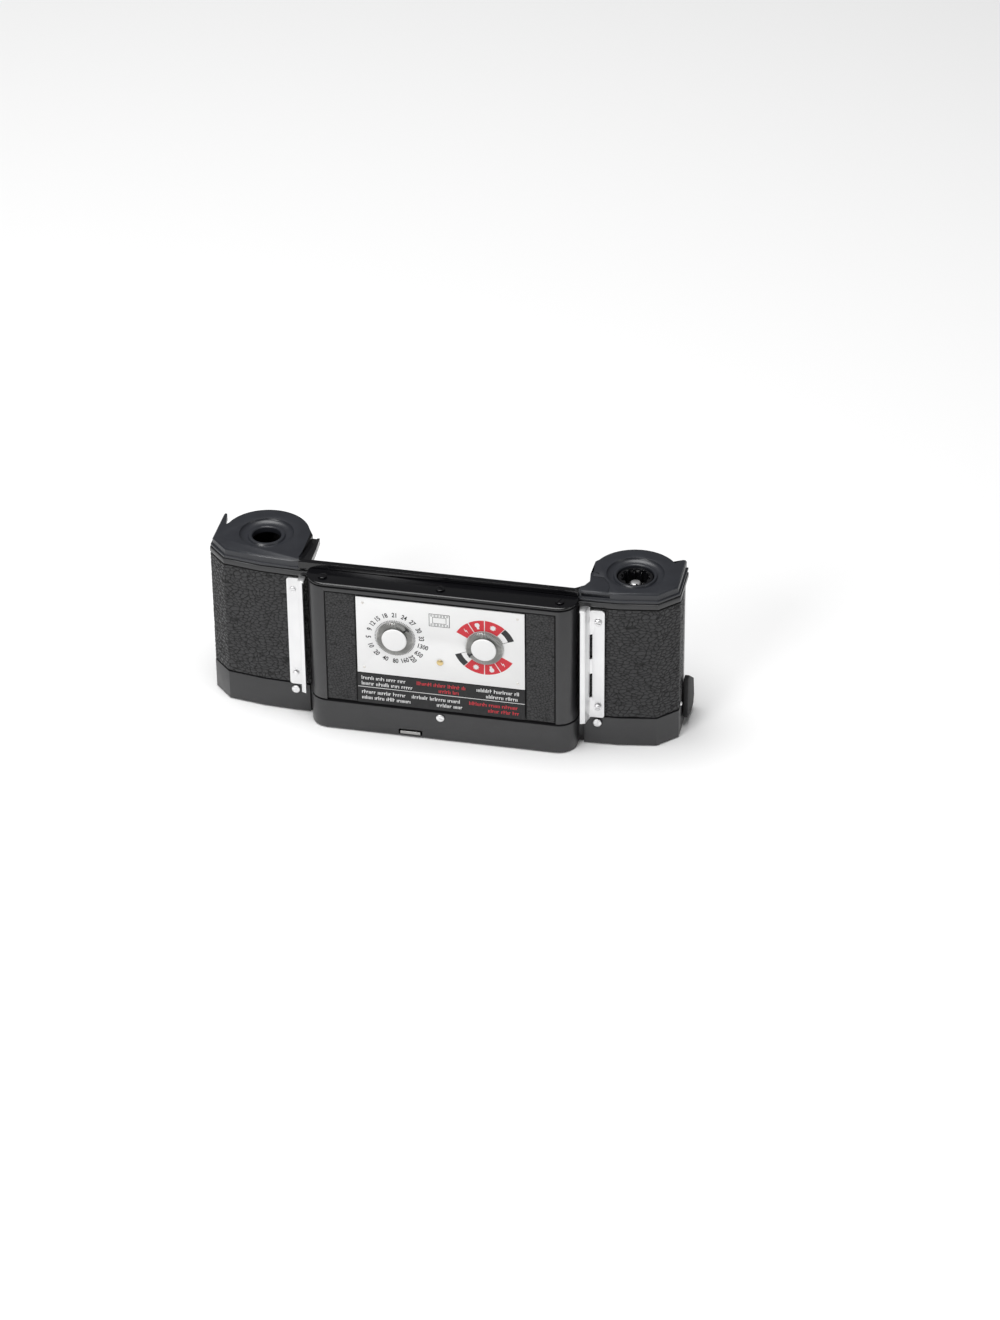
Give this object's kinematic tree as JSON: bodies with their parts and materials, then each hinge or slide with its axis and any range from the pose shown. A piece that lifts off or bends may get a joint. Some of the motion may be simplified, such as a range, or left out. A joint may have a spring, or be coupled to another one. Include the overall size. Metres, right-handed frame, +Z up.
{
  "type": "camera film magazine",
  "caption": "Film magazine back for a 35 mm reflex camera: two round film towers, label box with two dials, chrome rails, film gate and pull-out dark slide.",
  "frame": {"origin": "on the flat underside, midway between the two ends, in the plane of the towers' rear flats", "axes": "+Z up, +X towards the take-up tower (the viewer's right when looking at the label), -Y towards the viewer on the label side, +Y towards the camera body"},
  "size_m": [0.1518, 0.0402, 0.056],
  "materials": {
    "black_enamel": "semi-gloss black enamel",
    "matt_black": "matt black",
    "leatherette": "pebbled black covering",
    "chrome": "bright chrome",
    "nickel": "satin nickel plate",
    "white_label": "printed satin white",
    "brushed_steel": "fine brushed stainless",
    "spring_steel": "polished spring steel",
    "brass": "satin brass",
    "felt": "black plush"
  },
  "bodies": {
    "magazine": {"back_shell": "black_enamel", "base_casting": "black_enamel", "base_screw_left": "chrome", "base_screw_right": "chrome", "base_seal": "felt", "box_cover": "black_enamel", "box_lid": "black_enamel", "cartridge_spring": "spring_steel", "centre_screw": "chrome", "end_lug": "black_enamel", "gate_frame": "matt_black", "idler_pin": "brushed_steel", "instruction_strip": "matt_black", "label_plate": "white_label", "label_rivet": "brass", "leatherette_left": "leatherette", "leatherette_right": "leatherette", "leatherette_strip_left": "leatherette", "leatherette_strip_right": "leatherette", "lid_screw_left": "black_enamel", "lid_screw_middle": "black_enamel", "lid_screw_right": "black_enamel", "lug_rivet": "chrome", "rail_left": "chrome", "rail_right": "chrome", "rail_screw_left_bottom": "chrome", "rail_screw_left_top": "chrome", "rail_screw_right_bottom": "chrome", "rail_screw_right_top": "chrome", "top_frame": "black_enamel", "tower_left": "matt_black", "tower_right": "matt_black"},
    "speed_dial": {"speed_dial_cap": "white_label", "speed_dial_ring": "nickel", "speed_dial_washer": "spring_steel"},
    "type_dial": {"type_dial_cap": "white_label", "type_dial_ring": "nickel", "type_dial_washer": "spring_steel"},
    "left_key": {"key_disc_left": "nickel", "lock_cam_left": "brushed_steel"},
    "left_key_ring": {"key_ring_left": "nickel"},
    "right_key": {"key_disc_right": "nickel", "lock_cam_right": "brushed_steel"},
    "right_key_ring": {"key_ring_right": "nickel"},
    "take_up": {"take_up_spool": "matt_black", "spool_gear": "brass", "clutch_spring": "spring_steel", "drive_sleeve": "matt_black", "drive_pin": "chrome"},
    "idler": {"idler_gear": "brass"},
    "film_sprocket": {"sprocket": "brushed_steel", "sprocket_gear": "brass"},
    "roller": {"film_roller": "chrome"},
    "pressure_plate": {"pressure_plate": "matt_black", "pressure_spring": "spring_steel"},
    "dark_slide": {"dark_slide": "brushed_steel"},
    "base_catch": {"base_catch": "chrome"}
  },
  "joints": [
    {"name": "speed_dial_turn", "type": "hinge", "parent": "magazine", "child": "speed_dial", "pos_m": [-0.012, -0.0074, 0.0367], "axis": [0, -1, 0], "continuous": true},
    {"name": "type_dial_turn", "type": "hinge", "parent": "magazine", "child": "type_dial", "pos_m": [0.0164, -0.0074, 0.0367], "axis": [0, -1, 0], "continuous": true},
    {"name": "left_key_turn", "type": "hinge", "parent": "magazine", "child": "left_key", "pos_m": [-0.058, 0.0146, 0.0015], "axis": [0, 0, 1], "range_deg": [0, 180]},
    {"name": "left_ring_fold", "type": "hinge", "parent": "left_key", "child": "left_key_ring", "pos_m": [-0.058, 0.0156, 0.0007], "axis": [1, 0, 0], "range_deg": [0, 90]},
    {"name": "right_key_turn", "type": "hinge", "parent": "magazine", "child": "right_key", "pos_m": [0.0598, 0.0139, 0.0015], "axis": [0, 0, -1], "range_deg": [0, 180]},
    {"name": "right_ring_fold", "type": "hinge", "parent": "right_key", "child": "right_key_ring", "pos_m": [0.0598, 0.0149, 0.0007], "axis": [1, 0, 0], "range_deg": [0, 90]},
    {"name": "take_up_turn", "type": "hinge", "parent": "magazine", "child": "take_up", "pos_m": [0.0598, 0.0139, 0.03], "axis": [0, 0, 1], "continuous": true},
    {"name": "idler_turn", "type": "hinge", "parent": "magazine", "child": "idler", "pos_m": [0.05232, 0.01508, 0.0079], "axis": [0, 0, 1], "continuous": true},
    {"name": "sprocket_turn", "type": "hinge", "parent": "magazine", "child": "film_sprocket", "pos_m": [0.0495, 0.0077, 0.03], "axis": [0, 0, 1], "continuous": true},
    {"name": "roller_turn", "type": "hinge", "parent": "magazine", "child": "roller", "pos_m": [-0.0491, 0.0049, 0.031], "axis": [0, 0, 1], "continuous": true},
    {"name": "plate_press", "type": "slide", "parent": "magazine", "child": "pressure_plate", "axis": [0, -1, 0], "range_m": [0, 0.0005], "stiffness_N_per_m": 800},
    {"name": "dark_slide_pull", "type": "slide", "parent": "magazine", "child": "dark_slide", "axis": [0, 0, -1], "range_m": [0, 0.05]},
    {"name": "catch_press", "type": "slide", "parent": "magazine", "child": "base_catch", "axis": [0, 1, 0], "range_m": [0, 0.0006], "stiffness_N_per_m": 200}
  ],
  "couplings": [
    {"joint": "idler_turn", "follows": "take_up_turn", "ratio": -0.91667},
    {"joint": "sprocket_turn", "follows": "take_up_turn", "ratio": 0.91667}
  ]
}
